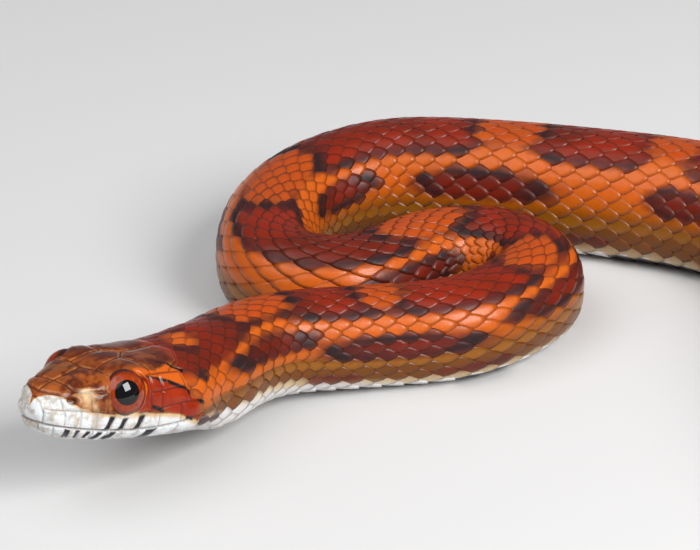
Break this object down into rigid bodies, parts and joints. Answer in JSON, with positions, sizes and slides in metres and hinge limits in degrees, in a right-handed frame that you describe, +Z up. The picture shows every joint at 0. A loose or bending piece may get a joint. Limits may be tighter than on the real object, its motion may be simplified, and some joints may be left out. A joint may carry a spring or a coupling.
{
  "type": "corn snake, still model",
  "caption": "Life-size still model of a young corn snake at rest, head slightly raised, body folded in loose S bends on a flat belly, tail tapering to a point.",
  "frame": {"origin": "on the floor, under the middle of the whole snake's bounding box", "axes": "+X runs from the head's end to the tail's end of the layout, +Z up; seen from -Y the head is at the left"},
  "size_m": [0.2586, 0.1196, 0.0147],
  "materials": {
    "scaled_skin": "glossy scaled skin, orange with red-brown blotches",
    "white_lip_skin": "glossy white lip and chin plates with black bars",
    "eye": "wet and glossy, orange-red iris with a round black pupil"
  },
  "bodies": {
    "root": {"head": "scaled_skin", "lower_jaw": "white_lip_skin", "eye_left": "eye", "eye_right": "eye", "neck": "scaled_skin", "torso_1": "scaled_skin", "torso_2": "scaled_skin", "torso_3": "scaled_skin", "torso_4": "scaled_skin", "torso_5": "scaled_skin", "torso_6": "scaled_skin", "torso_7": "scaled_skin", "torso_8": "scaled_skin", "tail_base": "scaled_skin", "tail_mid": "scaled_skin", "tail_tip": "scaled_skin"}
  },
  "joints": []
}
